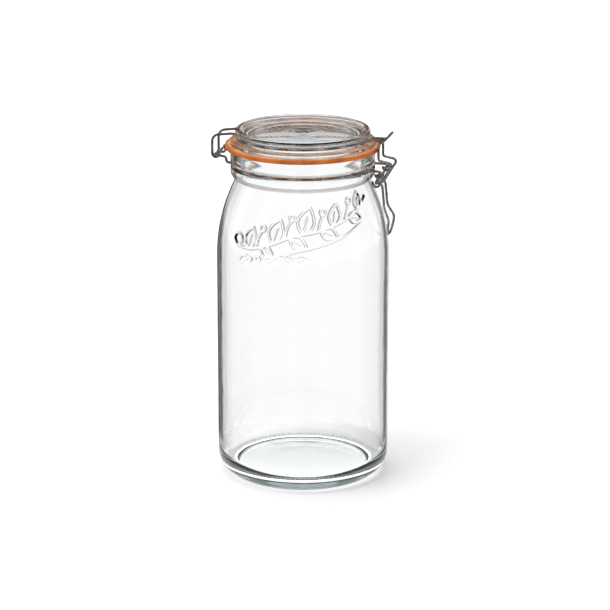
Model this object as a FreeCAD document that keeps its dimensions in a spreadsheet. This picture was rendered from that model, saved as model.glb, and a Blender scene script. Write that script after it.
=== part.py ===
import FreeCAD, Part

import math
import os

import Sketcher

# A wire-bail preserving jar: a blown glass jar and a pressed glass lid, a rubber ring
# between them, and the bent wires that hinge the lid at the back (-X) and clamp it at the
# front (+X). The frame is in millimetres, +Z up, with its origin on the jar's axis at the
# plane that the foot stands on.

Vector = FreeCAD.Vector

# Driving dimensions: alias, value in millimetres or degrees, meaning.
SIZES = [
    ("body_radius", 69.0, "outside of the straight wall"),
    ("wall", 3.5, "glass thickness of wall and shoulder"),
    ("heel_width", 10.5, "how far the foot stands in from the straight wall"),
    ("foot_width", 4.5, "width of that ring"),
    ("push_up", 3.0, "height of the hollow under the base"),
    ("heel_height", 17.0, "where the rounded heel meets the straight wall"),
    ("floor_height", 8.0, "inside floor at its edge"),
    ("floor_rise", 1.5, "rise of the inside floor at its middle"),
    ("inner_heel", 12.0, "inside rounding between floor and wall"),
    ("flat_middle", 6.0, "radius of the flat in the middle of each dome and dish"),
    ("shoulder_arc", 135.0, "radius of the shoulder's profile"),
    ("neck_drop", 23.4505, "narrowest part of the neck below the rim"),
    ("finish_width", 7.7, "width of the rim, from the mouth to its two beads"),
    ("mouth_radius", 49.5, "inside of the neck"),
    ("bead_drop", 17.2, "lower bead where it is widest, below the rim"),
    ("groove_drop", 13.0, "middle of the neck's wire groove below the rim"),
    ("groove_ease", 0.6, "room above and below a wire in its groove"),
    ("bowl_ease", 0.4, "round bottom of a wire groove, deeper than half a wire"),
    ("groove_sink", 0.4, "how far the neck wire lies under the beads"),
    ("rim_height", 266.2, "top of the glass, where the ring seals"),
    ("rim_round", 2.0, "rounding of the rim's two edges"),
    ("seal_inset", 0.8, "rubber ring's inside, outward of the mouth"),
    ("seal_overhang", 4.3, "how far the rubber ring stands out of the finish"),
    ("seal_thick", 3.2, "thickness of the rubber ring"),
    ("seal_round", 0.8, "rounding of the ring's edges"),
    ("lid_play", 0.1, "gap between ring and lid"),
    ("flange_overhang", 0.3, "how far the lid's flange stands out of the finish"),
    ("flange_edge", 1.9, "height of the flange's rounded edge"),
    ("plug_gap", 1.7, "gap between the mouth and the plug where it is widest"),
    ("plug_taper", 1.3, "how much narrower the plug is at its end"),
    ("plug_depth", 5.5, "depth of the plug below the flange"),
    ("plug_wall", 4.0, "width of the plug's ring"),
    ("plug_lip", 1.3, "rounding of the plug's end"),
    ("plug_draft", 2.0, "slope of the hollow's side"),
    ("lid_hollow", 9.0, "height of the hollow under the lid above the plug's end"),
    ("lid_groove_rise", 6.1, "middle of the lid's wire groove above the flange's face"),
    ("lid_wire_proud", 0.3, "how far the lid wire stands out of its groove"),
    ("collar_inset", 5.6, "lid by its wire groove, inward of the flange"),
    ("crest_width", 1.4, "lid's raised rim outward of the collar"),
    ("top_height", 12.0, "top of the raised rim above the flange's face"),
    ("top_round", 2.0, "rounding of the raised rim's outer edge"),
    ("top_width", 4.2, "width of the raised rim's flat and inner slope"),
    ("dish_depth", 2.3, "depth of the dish in the lid's top at its edge"),
    ("dish_sag", 0.8, "further depth of the dish at its middle"),
    ("wire", 2.2, "diameter of every wire"),
    ("groove_play", 0.1, "gap between a wire and the bottom of its groove"),
    ("bend", 2.0, "centre-line radius of a tight bend in the wire"),
    ("hinge_out", 11.6, "hinge pin outward of the finish"),
    ("hinge_drop", 7.2, "hinge pin below the rim"),
    ("hinge_ease", 1.8, "room beside each curl on the hinge pin"),
    ("hinge_play", 0.75, "gap between the hinge pin and the lid wire's curls"),
    ("curl_sweep", 250.0, "angle of the lid wire's curls"),
    ("rear_half", 9.0, "half the spacing of the lid wire's rear strands"),
    ("rear_drop", 1.8, "fall of the rear strands before they turn down"),
    ("tongue_half", 4.6, "half the width of the lifting tongue"),
    ("tongue_bend_out", 3.6, "where the tongue turns up, outward of the link"),
    ("tongue_length", 5.4, "tip of the tongue outward of that bend"),
    ("tongue_rise", 6.1, "tip of the tongue above its strands"),
    ("pivot_out", 7.0, "lever's pivot outward of the finish"),
    ("eye_gap", 0.3, "gap between the crank's cheeks and the eyes"),
    ("pivot_play", 0.35, "gap between the lever's trunnions and their eyes"),
    ("trunnion_proud", 1.2, "how far the trunnions stand out of their eyes"),
    ("crank_in", 3.0, "crank pin inward of the pivot"),
    ("crank_drop", 8.3, "crank pin below the pivot"),
    ("strand_gap", 0.4, "gap between strands that pass side by side"),
    ("leg_half", 5.6, "half the spacing of the lever's legs at their top"),
    ("leg_out", 1.2, "legs outward of the pivot at their top"),
    ("leg_drop", 9.9, "top of the legs below the pivot"),
    ("leg_length", 18.4, "straight top part of the legs"),
    ("grip_half", 9.8, "half the width of the lever's grip"),
    ("grip_gap", 1.7311, "gap between the end of the grip and the glass"),
    ("leg_gap", 4.2494, "gap between the legs and the glass where they bend"),
    ("grip_drop", 37.7, "start of the grip below the pivot"),
    ("grip_length", 12.4, "length of the grip"),
    ("grip_tuck", 1.9, "how far the grip's end leans back to the glass"),
    ("link_gap", 1.3, "link's upright strands outward of the rubber ring"),
    ("link_play", 0.4, "gap between the link's bar and the tongue above it"),
    ("bow_out", 10.4, "outer corner of the link's bow, outward of the pivot"),
    ("bow_drop", 7.6, "that corner below the rim"),
    ("strand_drop", 5.4, "start of the upright strands below the rim"),
    ("hook_play", 0.7, "gap between the crank pin and the link's hooks"),
    ("hook_end", 150.0, "angle where the link's hooks end"),
]


class Size:
    """A size as an expression on the sheet, with the number that it stands for."""

    def __init__(self, text, value):
        self.text = text
        self.value = float(value)

    @staticmethod
    def of(other):
        return other if isinstance(other, Size) else Size(repr(float(other)), other)

    def _join(self, sign, other, value):
        return Size("(%s %s %s)" % (self.text, sign, other.text), value)

    def __add__(self, other):
        other = Size.of(other)
        return self._join("+", other, self.value + other.value)

    def __sub__(self, other):
        other = Size.of(other)
        return self._join("-", other, self.value - other.value)

    def __mul__(self, other):
        other = Size.of(other)
        return self._join("*", other, self.value * other.value)

    def __truediv__(self, other):
        other = Size.of(other)
        return self._join("/", other, self.value / other.value)

    def root(self):
        return Size("sqrt(%s)" % self.text, math.sqrt(self.value))


def fill_sheet(doc):
    """Write the driving dimensions to the sheet, one aliased cell to a row."""
    sheet = doc.addObject("Spreadsheet::Sheet", "Sizes")
    for row, (alias, value, meaning) in enumerate(SIZES, start=1):
        sheet.set("A%d" % row, meaning)
        sheet.set("B%d" % row, str(value))
        sheet.setAlias("B%d" % row, alias)
    doc.recompute()
    return sheet


def read_sizes(sheet):
    """Every driving dimension as a Size, by its alias."""
    return {alias: Size("Sizes." + alias, getattr(sheet, alias)) for alias, _, _ in SIZES}


def derived_sizes(s):
    """Sizes that follow from the driving dimensions, added under their own names."""
    wire = s["wire"]
    rim = s["rim_height"]
    made = dict(s)
    made["foot_radius"] = s["body_radius"] - s["heel_width"]
    made["neck_radius"] = s["mouth_radius"] + s["wall"]
    made["finish_radius"] = s["mouth_radius"] + s["finish_width"]
    made["seal_inner"] = s["mouth_radius"] + s["seal_inset"]
    made["seal_outer"] = made["finish_radius"] + s["seal_overhang"]
    made["plug_radius"] = s["mouth_radius"] - s["plug_gap"]
    made["lid_radius"] = made["finish_radius"] + s["flange_overhang"]
    made["collar_radius"] = made["lid_radius"] - s["collar_inset"]
    made["top_radius"] = made["collar_radius"] + s["crest_width"]
    made["hinge_reach"] = made["finish_radius"] + s["hinge_out"]
    made["pivot_reach"] = made["finish_radius"] + s["pivot_out"]
    made["link_reach"] = made["seal_outer"] + s["link_gap"]
    made["tongue_bend"] = made["link_reach"] + s["tongue_bend_out"]
    made["tongue_reach"] = made["tongue_bend"] + s["tongue_length"]
    made["link_bow"] = made["pivot_reach"] + s["bow_out"]
    made["bead_height"] = rim - s["bead_drop"]
    made["groove_height"] = rim - s["groove_drop"]
    made["hinge_height"] = rim - s["hinge_drop"]
    made["bow_height"] = rim - s["bow_drop"]
    made["bow_top"] = rim - s["strand_drop"]
    neck_in = s["shoulder_arc"] - (s["body_radius"] - made["neck_radius"])
    neck_rise = (s["shoulder_arc"] * s["shoulder_arc"] - neck_in * neck_in).root()
    made["neck_height"] = rim - s["neck_drop"]
    made["shoulder_height"] = made["neck_height"] - neck_rise
    made["groove_half"] = wire / 2.0 + s["groove_ease"]
    made["groove_bowl"] = wire / 2.0 + s["bowl_ease"]
    made["groove_depth"] = wire + s["groove_sink"]
    made["lid_groove_depth"] = wire - s["lid_wire_proud"]
    made["hinge_half"] = s["rear_half"] + wire + s["hinge_ease"]
    made["link_half"] = s["leg_half"] + wire + s["strand_gap"]
    made["crank_half"] = made["link_half"] + wire + s["strand_gap"]
    made["pivot_half"] = made["crank_half"] + wire + s["eye_gap"]
    made["pivot_height"] = made["groove_height"] - wire - s["pivot_play"]
    leg_low = made["pivot_height"] - s["leg_drop"] - s["leg_length"]
    grip_low = made["pivot_height"] - s["grip_drop"] - s["grip_length"]
    made["leg_reach"] = wall_outside(made, leg_low) + wire / 2.0 + s["leg_gap"]
    made["grip_reach"] = wall_outside(made, grip_low) + wire / 2.0 + s["grip_gap"]
    made["trunnion_end"] = made["pivot_half"] + wire / 2.0 + s["trunnion_proud"]
    return made


def wall_outside(s, height):
    """Outside radius of the jar's shoulder at a height."""
    above = height - s["shoulder_height"]
    reach = (s["shoulder_arc"] * s["shoulder_arc"] - above * above).root()
    return s["body_radius"] - s["shoulder_arc"] + reach


def sagitta_radius(half_chord, height):
    """Radius of the arc that rises by height over the given half chord."""
    return (half_chord * half_chord + height * height) / (height * 2.0)


# ---------------------------------------------------------------- turned pieces


def arc_between(start, end, radius, side):
    """Arc of the given radius, with its centre left (+1) or right (-1) of start to end.

    The arc itself always runs anticlockwise, so on the right it starts at the end.
    """
    chord = end - start
    half = chord.Length / 2.0
    rise = math.sqrt(max(radius * radius - half * half, 0.0))
    left = Vector(-chord.y, chord.x, 0).normalize()
    centre = (start + end) * 0.5 + left * (rise * side)
    middle = centre - left * (radius * side)
    if side > 0:
        return Part.Arc(start, middle, end)
    return Part.Arc(end, middle, start)


def pin_point(sketch, piece, where, x, z):
    """Fix a point of the sketch at the sizes x and z, each bound to the sheet."""
    for kind, size, axis in (("DistanceX", x, -2), ("DistanceY", z, -1)):
        if abs(size.value) < 1e-9:
            sketch.addConstraint(Sketcher.Constraint("PointOnObject", piece, where, axis))
            continue
        index = sketch.addConstraint(Sketcher.Constraint(kind, piece, where, size.value))
        sketch.setExpression("Constraints[%d]" % index, size.text)


def turned_body(doc, label, outline):
    """A body turned about Z from a closed outline.

    Each entry of the outline is a corner (x, z) and the way to the next corner: None for a
    straight line, or (radius, side) for an arc with its centre left or right of the way.
    """
    body = doc.addObject("PartDesign::Body", label)
    body.Label = label
    sketch = body.newObject("Sketcher::SketchObject", label + "_outline")
    planes = {feature.Role: feature for feature in body.Origin.OriginFeatures}
    sketch.AttachmentSupport = (planes["XZ_Plane"], [""])
    sketch.MapMode = "FlatFace"
    corners = [Vector(x.value, z.value, 0) for x, z, _ in outline]
    count = len(outline)
    ends = []
    for index, (_, _, way) in enumerate(outline):
        start = corners[index]
        end = corners[(index + 1) % count]
        if way is None:
            sketch.addGeometry(Part.LineSegment(start, end))
            ends.append((1, 2))
            continue
        radius, side = way
        sketch.addGeometry(arc_between(start, end, radius.value, side))
        ends.append((1, 2) if side > 0 else (2, 1))
    for index in range(count):
        after = (index + 1) % count
        join = Sketcher.Constraint("Coincident", index, ends[index][1], after, ends[after][0])
        sketch.addConstraint(join)
    for index, (x, z, way) in enumerate(outline):
        pin_point(sketch, index, ends[index][0], x, z)
        if way is not None:
            radius = way[0]
            made = sketch.addConstraint(Sketcher.Constraint("Radius", index, radius.value))
            sketch.setExpression("Constraints[%d]" % made, radius.text)
    turn = body.newObject("PartDesign::Revolution", label + "_turn")
    turn.Profile = sketch
    turn.ReferenceAxis = (sketch, ["V_Axis"])
    turn.Angle = 360
    body.Tip = turn
    return body


def wire_groove(radius, height, depth, s):
    """Corners of a groove for a wire in the upright face at this radius, from below."""
    bowl_radius = sagitta_radius(s["groove_half"], s["groove_bowl"])
    bowl_x = radius - depth + s["groove_bowl"]
    low = height - s["groove_half"]
    high = height + s["groove_half"]
    return [
        (radius, low, None),
        (bowl_x, low, (bowl_radius, -1)),
        (bowl_x, high, None),
        (radius, high, None),
    ]


def jar_outline(s):
    """Outline of the jar: under the base, up the outside, over the rim and down inside."""
    zero = Size.of(0)
    flat = s["flat_middle"]
    foot_inner = s["foot_radius"] - s["foot_width"]
    heel_width = s["body_radius"] - s["foot_radius"]
    inner_radius = s["body_radius"] - s["wall"]
    arc_centre = s["body_radius"] - s["shoulder_arc"]
    inner_arc = s["shoulder_arc"] - s["wall"]
    mouth_x = s["mouth_radius"] - arc_centre
    mouth_rise = (inner_arc * inner_arc - mouth_x * mouth_x).root()
    neck_z = s["neck_height"]
    bead_width = s["finish_radius"] - s["neck_radius"]
    inner_floor = inner_radius - s["inner_heel"]
    return [
        (zero, s["push_up"], None),
        (flat, s["push_up"], (sagitta_radius(foot_inner - flat, s["push_up"]), -1)),
        (foot_inner, zero, None),
        (s["foot_radius"], zero, (sagitta_radius(s["heel_height"], heel_width), 1)),
        (s["body_radius"], s["heel_height"], None),
        (s["body_radius"], s["shoulder_height"], (s["shoulder_arc"], 1)),
        (s["neck_radius"], neck_z, (sagitta_radius(s["bead_height"] - neck_z, bead_width), 1)),
        (s["finish_radius"], s["bead_height"], None),
        *wire_groove(s["finish_radius"], s["groove_height"], s["groove_depth"], s),
        (s["finish_radius"], s["rim_height"] - s["rim_round"], (s["rim_round"], 1)),
        (s["finish_radius"] - s["rim_round"], s["rim_height"], None),
        (s["mouth_radius"] + s["rim_round"], s["rim_height"], (s["rim_round"], 1)),
        (s["mouth_radius"], s["rim_height"] - s["rim_round"], None),
        (s["mouth_radius"], s["shoulder_height"] + mouth_rise, (inner_arc, -1)),
        (inner_radius, s["shoulder_height"], None),
        (inner_radius, s["floor_height"] + s["inner_heel"], (s["inner_heel"], -1)),
        (inner_floor, s["floor_height"], (sagitta_radius(inner_floor - flat, s["floor_rise"]), 1)),
        (flat, s["floor_height"] + s["floor_rise"], None),
        (zero, s["floor_height"] + s["floor_rise"], None),
    ]


def seal_outline(s):
    """Outline of the rubber ring: a flat band with rounded edges."""
    low = s["rim_height"]
    high = low + s["seal_thick"]
    edge = s["seal_round"]
    inner = s["seal_inner"]
    outer = s["seal_outer"]
    return [
        (inner + edge, low, None),
        (outer - edge, low, (edge, 1)),
        (outer, low + edge, None),
        (outer, high - edge, (edge, 1)),
        (outer - edge, high, None),
        (inner + edge, high, (edge, 1)),
        (inner, high - edge, None),
        (inner, low + edge, (edge, 1)),
    ]


def flange_face(s):
    """Height of the lid's flange face, which rests on the rubber ring."""
    return s["rim_height"] + s["seal_thick"] + s["lid_play"]


def lid_wire_height(s):
    """Height of the lid's wire groove."""
    return flange_face(s) + s["lid_groove_rise"]


def lid_outline(s):
    """Outline of the lid: hollow plug, flange, wire groove, raised rim and dished top."""
    zero = Size.of(0)
    flat = s["flat_middle"]
    face = flange_face(s)
    top = face + s["top_height"]
    plug_end = face - s["plug_depth"]
    plug_outer = s["plug_radius"] - s["plug_taper"]
    plug_inner = plug_outer - s["plug_wall"]
    hollow = plug_end + s["lid_hollow"]
    hollow_radius = plug_inner - s["plug_draft"]
    lip = s["plug_lip"]
    groove = lid_wire_height(s)
    edge_top = face + s["flange_edge"]
    edge_round = s["flange_edge"] * 0.5
    dish_edge = top - s["dish_depth"]
    crest = s["top_radius"] - s["top_round"]
    dish_radius = s["top_radius"] - s["top_width"] - s["dish_depth"]
    cheek = s["top_radius"] - s["collar_radius"]
    return [
        (zero, hollow + s["dish_sag"], None),
        (flat, hollow + s["dish_sag"], (sagitta_radius(hollow_radius - flat, s["dish_sag"]), -1)),
        (hollow_radius, hollow, None),
        (plug_inner, plug_end + lip, (lip, 1)),
        (plug_inner + lip, plug_end, None),
        (plug_outer - lip, plug_end, (lip, 1)),
        (plug_outer, plug_end + lip, None),
        (s["plug_radius"], face, None),
        (s["lid_radius"] - edge_round, face, (edge_round, 1)),
        (s["lid_radius"], face + edge_round, (edge_round, 1)),
        (s["lid_radius"] - edge_round, edge_top, None),
        *wire_groove(s["collar_radius"], groove, s["lid_groove_depth"], s),
        (s["top_radius"], groove + s["groove_half"] + cheek, None),
        (s["top_radius"], top - s["top_round"], (s["top_round"], 1)),
        (crest, top, None),
        (s["top_radius"] - s["top_width"], top, None),
        (dish_radius, dish_edge, (sagitta_radius(dish_radius - flat, s["dish_sag"]), -1)),
        (flat, dish_edge - s["dish_sag"], None),
        (zero, dish_edge - s["dish_sag"], None),
    ]


# ---------------------------------------------------------------- bent wires

# Most of a run between two bends that the bends may take up.
RUN_SHARE = 0.98


def corner_angle(before, corner, after):
    """Half the angle between a corner's two runs."""
    return (before - corner).getAngle(after - corner) / 2.0


def fitting_radii(points, radii):
    """The radii, made smaller where two bends would overlap on the run between them."""
    reaches = [0.0]
    for index, radius in enumerate(radii):
        reaches.append(radius / math.tan(corner_angle(*points[index : index + 3])))
    reaches.append(0.0)
    shares = [1.0] * len(points)
    for index in range(len(points) - 1):
        used = reaches[index] + reaches[index + 1]
        length = (points[index + 1] - points[index]).Length
        if used > length:
            share = RUN_SHARE * length / used
            shares[index] = min(shares[index], share)
            shares[index + 1] = min(shares[index + 1], share)
    return [radius * share for radius, share in zip(radii, shares[1:-1])]


def bent_edges(points, radii):
    """Straight edges through the points, with a tangent arc at each inner one."""
    radii = fitting_radii(points, radii)
    edges = []
    start = points[0]
    for index in range(1, len(points) - 1):
        corner = points[index]
        inward = (points[index - 1] - corner).normalize()
        outward = (points[index + 1] - corner).normalize()
        half_angle = corner_angle(points[index - 1], corner, points[index + 1])
        reach = radii[index - 1] / math.tan(half_angle)
        towards = (inward + outward).normalize()
        first = corner + inward * reach
        last = corner + outward * reach
        depth = radii[index - 1] / math.sin(half_angle) - radii[index - 1]
        if (first - start).Length > 1e-6:
            edges.append(Part.LineSegment(start, first).toShape())
        edges.append(Part.Arc(first, corner + towards * depth, last).toShape())
        start = last
    edges.append(Part.LineSegment(start, points[-1]).toShape())
    return edges


def leaving_points(ring, half, bend, side):
    """Where a strand at y = half leaves a ring of wire, at the front (+1) or back (-1).

    Returns the bend's ends and middle, as (x, y) pairs from the ring to the strand.
    """
    centre_y = half + bend
    centre_x = side * math.sqrt((ring + bend) ** 2 - centre_y**2)
    share = ring / (ring + bend)
    on_ring = (centre_x * share, centre_y * share)
    on_strand = (centre_x, half)
    middle_x = (on_ring[0] + on_strand[0]) / 2.0 - centre_x
    middle_y = (on_ring[1] + on_strand[1]) / 2.0 - centre_y
    length = math.hypot(middle_x, middle_y)
    middle = (centre_x + middle_x / length * bend, centre_y + middle_y / length * bend)
    return on_ring, middle, on_strand


def ring_edges(ring, height, front, back):
    """Half a ring of wire on the +Y side, with the bend at each end onto its strand."""

    def at(pair):
        return Vector(pair[0], pair[1], height)

    return [
        Part.Arc(at(front[2]), at(front[1]), at(front[0])).toShape(),
        Part.Arc(at(front[0]), Vector(0, ring, height), at(back[0])).toShape(),
        Part.Arc(at(back[0]), at(back[1]), at(back[2])).toShape(),
    ]


def polar(centre, radius, degrees):
    """Point in the plane of the wire's curl, by its angle from +X towards +Z."""
    angle = math.radians(degrees)
    return centre + Vector(math.cos(angle), 0, math.sin(angle)) * radius


def curl_edge(centre, radius, first, last):
    """Arc about the centre, in the plane square to Y, between two angles."""
    middle = polar(centre, radius, (first + last) / 2.0)
    return Part.Arc(polar(centre, radius, first), middle, polar(centre, radius, last)).toShape()


def both_sides(half_edges):
    """A whole path from its +Y half and that half's mirror image."""
    mirrored = [edge.mirror(Vector(0, 0, 0), Vector(0, 1, 0)) for edge in half_edges]
    return Part.Wire(Part.__sortEdges__(mirrored + half_edges))


def neck_wire_path(s):
    """Neck wire: hinge pin at the back, round the groove, an eye each side in front."""
    height = s["groove_height"].value
    ring = s["finish_radius"].value - s["groove_depth"].value
    ring += s["wire"].value / 2.0 + s["groove_play"].value
    bend = s["bend"].value
    eye = s["wire"].value + s["pivot_play"].value
    back_half = s["hinge_half"].value
    front_half = s["pivot_half"].value
    front = leaving_points(ring, front_half, bend * 1.5, 1)
    back = leaving_points(ring, back_half, bend * 1.2, -1)
    pin_x = -s["hinge_reach"].value
    pin_z = s["hinge_height"].value
    riser_x = back[2][0] - bend * 1.2
    riser_top = pin_z - bend * 0.6
    rear = bent_edges(
        [
            Vector(pin_x, 0, pin_z),
            Vector(pin_x, back_half, pin_z),
            Vector(riser_x - bend * 0.6, back_half, riser_top),
            Vector(riser_x, back_half, height),
            Vector(back[2][0], back_half, height),
        ],
        [bend, bend, bend],
    )
    eye_centre = Vector(s["pivot_reach"].value, front_half, height - eye)
    over = Part.LineSegment(
        Vector(front[2][0], front_half, height), Vector(eye_centre.x, front_half, height)
    )
    curl = curl_edge(eye_centre, eye, 90.0, -190.0)
    return both_sides(rear + ring_edges(ring, height, front, back) + [over.toShape(), curl])


def pivot_centre(s):
    """Lever's pivot, in the plane y = 0."""
    return Vector(s["pivot_reach"].value, 0, s["pivot_height"].value)


def crank_centre(s):
    """Crank pin that pulls the link, in the plane y = 0."""
    return pivot_centre(s) - Vector(s["crank_in"].value, 0, s["crank_drop"].value)


def lid_wire_path(s):
    """Lid wire: curls on the hinge pin, round the lid's groove, a lifting tongue in front."""
    height = lid_wire_height(s).value
    ring = s["collar_radius"].value - s["lid_groove_depth"].value
    ring += s["wire"].value / 2.0 + s["groove_play"].value
    bend = s["bend"].value
    half = s["tongue_half"].value
    rear_half = s["rear_half"].value
    front = leaving_points(ring, half, bend * 4.0, 1)
    back = leaving_points(ring, rear_half, bend * 1.75, -1)
    tip = Vector(s["tongue_reach"].value, 0, height + s["tongue_rise"].value)
    tongue = bent_edges(
        [
            tip,
            tip + Vector(0, half, 0),
            Vector(s["tongue_bend"].value, half, height),
            Vector(front[2][0], half, height),
        ],
        [half * 0.96, bend * 1.8],
    )
    curl_radius = s["wire"].value + s["hinge_play"].value
    curl_centre = Vector(-s["hinge_reach"].value, rear_half, s["hinge_height"].value)
    down_x = curl_centre.x - curl_radius
    step_x = back[2][0] - bend * 2.0
    strand = bent_edges(
        [
            Vector(back[2][0], rear_half, height),
            Vector(step_x, rear_half, height),
            Vector(down_x, rear_half, height - s["rear_drop"].value),
            Vector(down_x, rear_half, curl_centre.z),
        ],
        [bend * 4.0, bend * 3.0],
    )
    curl = curl_edge(curl_centre, curl_radius, 180.0, 180.0 + s["curl_sweep"].value)
    return both_sides(tongue + ring_edges(ring, height, front, back) + strand + [curl])


def lever_path(s):
    """Lever: a long grip, two legs, the crank pins and the trunnions in their eyes."""
    pivot = pivot_centre(s)
    crank = crank_centre(s)
    bend = s["bend"].value
    tight = bend * 0.9
    leg = Vector(0, s["leg_half"].value, 0)
    cheek = Vector(0, s["crank_half"].value, 0)
    grip = Vector(0, s["grip_half"].value, 0)
    grip_end_z = pivot.z - s["grip_drop"].value - s["grip_length"].value
    grip_end = Vector(s["grip_reach"].value, 0, grip_end_z)
    grip_top = grip_end + Vector(s["grip_tuck"].value, 0, s["grip_length"].value)
    leg_top = pivot + Vector(s["leg_out"].value, 0, -s["leg_drop"].value)
    leg_low = Vector(s["leg_reach"].value, 0, leg_top.z - s["leg_length"].value)
    half = bent_edges(
        [
            grip_end,
            grip_end + grip,
            grip_top + grip,
            leg_low + leg,
            leg_top + leg,
            crank + leg,
            crank + cheek,
            pivot + cheek,
            pivot + Vector(0, s["trunnion_end"].value, 0),
        ],
        [grip.y * 0.92, bend * 4.0, bend * 5.0, bend, tight, tight, tight],
    )
    return both_sides(half)


def link_path(s):
    """Link: a bar under the tongue, upright strands, a bow outward, hooks on the crank."""
    crank = crank_centre(s)
    bend = s["bend"].value
    half = Vector(0, s["link_half"].value, 0)
    hook = s["wire"].value + s["hook_play"].value
    bar_z = lid_wire_height(s).value - s["wire"].value - s["link_play"].value
    bar = Vector(s["link_reach"].value, 0, bar_z)
    inner = Vector(s["link_reach"].value, 0, s["bow_top"].value)
    outer = Vector(s["link_bow"].value, 0, s["bow_height"].value)
    span = outer - crank
    heading = math.degrees(math.atan2(span.z, span.x))
    offset = math.degrees(math.acos(hook / span.Length))
    leave = heading - offset
    joint = polar(crank, hook, leave)
    edges = bent_edges(
        [bar, bar + half, inner + half, outer + half, joint + half],
        [bend * 1.2, bend * 1.1, bend * 1.2],
    )
    last = s["hook_end"].value - 360.0
    return both_sides(edges + [curl_edge(crank + half, hook, leave, last)])


def wire_solid(doc, label, path, s):
    """A round wire swept along its path."""
    route = doc.addObject("Part::Feature", label + "_path")
    route.Shape = path
    section = doc.addObject("Part::Circle", label + "_section")
    section.setExpression("Radius", (s["wire"] / 2.0).text)
    first = path.OrderedEdges[0]
    start = path.OrderedVertexes[0].Point
    at_start = first.valueAt(first.FirstParameter)
    forward = (at_start - start).Length < 1e-4
    parameter = first.FirstParameter if forward else first.LastParameter
    heading = first.tangentAt(parameter)
    turn = FreeCAD.Rotation(Vector(0, 0, 1), heading)
    section.Placement = FreeCAD.Placement(start, turn)
    sweep = doc.addObject("Part::Sweep", label)
    sweep.Label = label
    sweep.Sections = [section]
    sweep.Spine = (route, [])
    sweep.Solid = True
    sweep.Frenet = False
    return sweep


# ---------------------------------------------------------------- the model


def check_document(doc, pieces):
    """Stop if an object failed, or a piece has no valid single solid."""
    for item in doc.Objects:
        if "Invalid" in item.State or "Error" in item.State:
            raise RuntimeError("%s failed: %s" % (item.Name, item.State))
    for piece in pieces:
        shape = piece.Shape
        if shape.isNull() or not shape.isValid() or len(shape.Solids) != 1:
            raise RuntimeError("%s has no valid solid" % piece.Label)


def main():
    """Build the jar and write each piece to its own file."""
    doc = FreeCAD.newDocument("PreservingJar")
    sizes = derived_sizes(read_sizes(fill_sheet(doc)))
    turned = {
        "jar_glass": jar_outline(sizes),
        "rubber_seal": seal_outline(sizes),
        "lid_glass": lid_outline(sizes),
    }
    paths = {
        "neck_wire": neck_wire_path(sizes),
        "lid_wire": lid_wire_path(sizes),
        "lever": lever_path(sizes),
        "link": link_path(sizes),
    }
    pieces = [turned_body(doc, label, outline) for label, outline in turned.items()]
    pieces += [wire_solid(doc, label, path, sizes) for label, path in paths.items()]
    doc.recompute()
    check_document(doc, pieces)
    section_area = math.pi * (sizes["wire"].value / 2.0) ** 2
    for piece in pieces:
        if piece.Label in paths:
            expected = paths[piece.Label].Length * section_area
            ratio = piece.Shape.Volume / expected
            if abs(ratio - 1.0) > 0.01:
                raise RuntimeError("%s has %.3f of its volume" % (piece.Label, ratio))
    os.makedirs("parts", exist_ok=True)
    for piece in pieces:
        piece.Shape.exportStep("parts/%s.step" % piece.Label)
        print("%-12s volume %9.1f mm3" % (piece.Label, piece.Shape.Volume))


main()
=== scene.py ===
import logging
import math
from dataclasses import dataclass, field
from enum import Enum
from typing import Any, Mapping, Sequence

import bmesh
import bpy
import numpy as np
from mathutils import Matrix, Vector, noise


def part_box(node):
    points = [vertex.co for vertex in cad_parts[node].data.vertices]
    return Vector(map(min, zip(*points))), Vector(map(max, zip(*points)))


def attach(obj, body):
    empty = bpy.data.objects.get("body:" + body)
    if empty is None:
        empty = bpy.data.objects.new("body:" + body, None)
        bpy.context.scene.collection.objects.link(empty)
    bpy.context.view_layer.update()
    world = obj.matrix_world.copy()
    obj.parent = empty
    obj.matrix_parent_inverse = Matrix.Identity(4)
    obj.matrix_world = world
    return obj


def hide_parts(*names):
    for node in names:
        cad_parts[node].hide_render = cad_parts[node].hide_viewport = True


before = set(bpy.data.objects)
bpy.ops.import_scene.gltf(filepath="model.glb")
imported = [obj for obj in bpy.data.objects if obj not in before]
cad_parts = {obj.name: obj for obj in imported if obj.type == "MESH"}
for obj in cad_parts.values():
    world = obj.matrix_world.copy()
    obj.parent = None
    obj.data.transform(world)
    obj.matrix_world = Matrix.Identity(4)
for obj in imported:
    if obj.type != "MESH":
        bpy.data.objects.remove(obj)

LOG = logging.getLogger("preserving_jar")
MM = 0.001
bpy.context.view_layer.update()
CAMERA_AZIMUTH = math.radians(14.5)
FULL_TURN = 360.0


class Body(Enum):
    """The rigid bodies that the pieces ride on."""

    JAR = "jar"
    LID = "lid"


class Slot(Enum):
    """The record's material slots."""

    GLASS = "glass"
    SEAL = "seal_rubber"
    WIRE = "wire"


# ---------------------------------------------------------------- shader board


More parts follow.
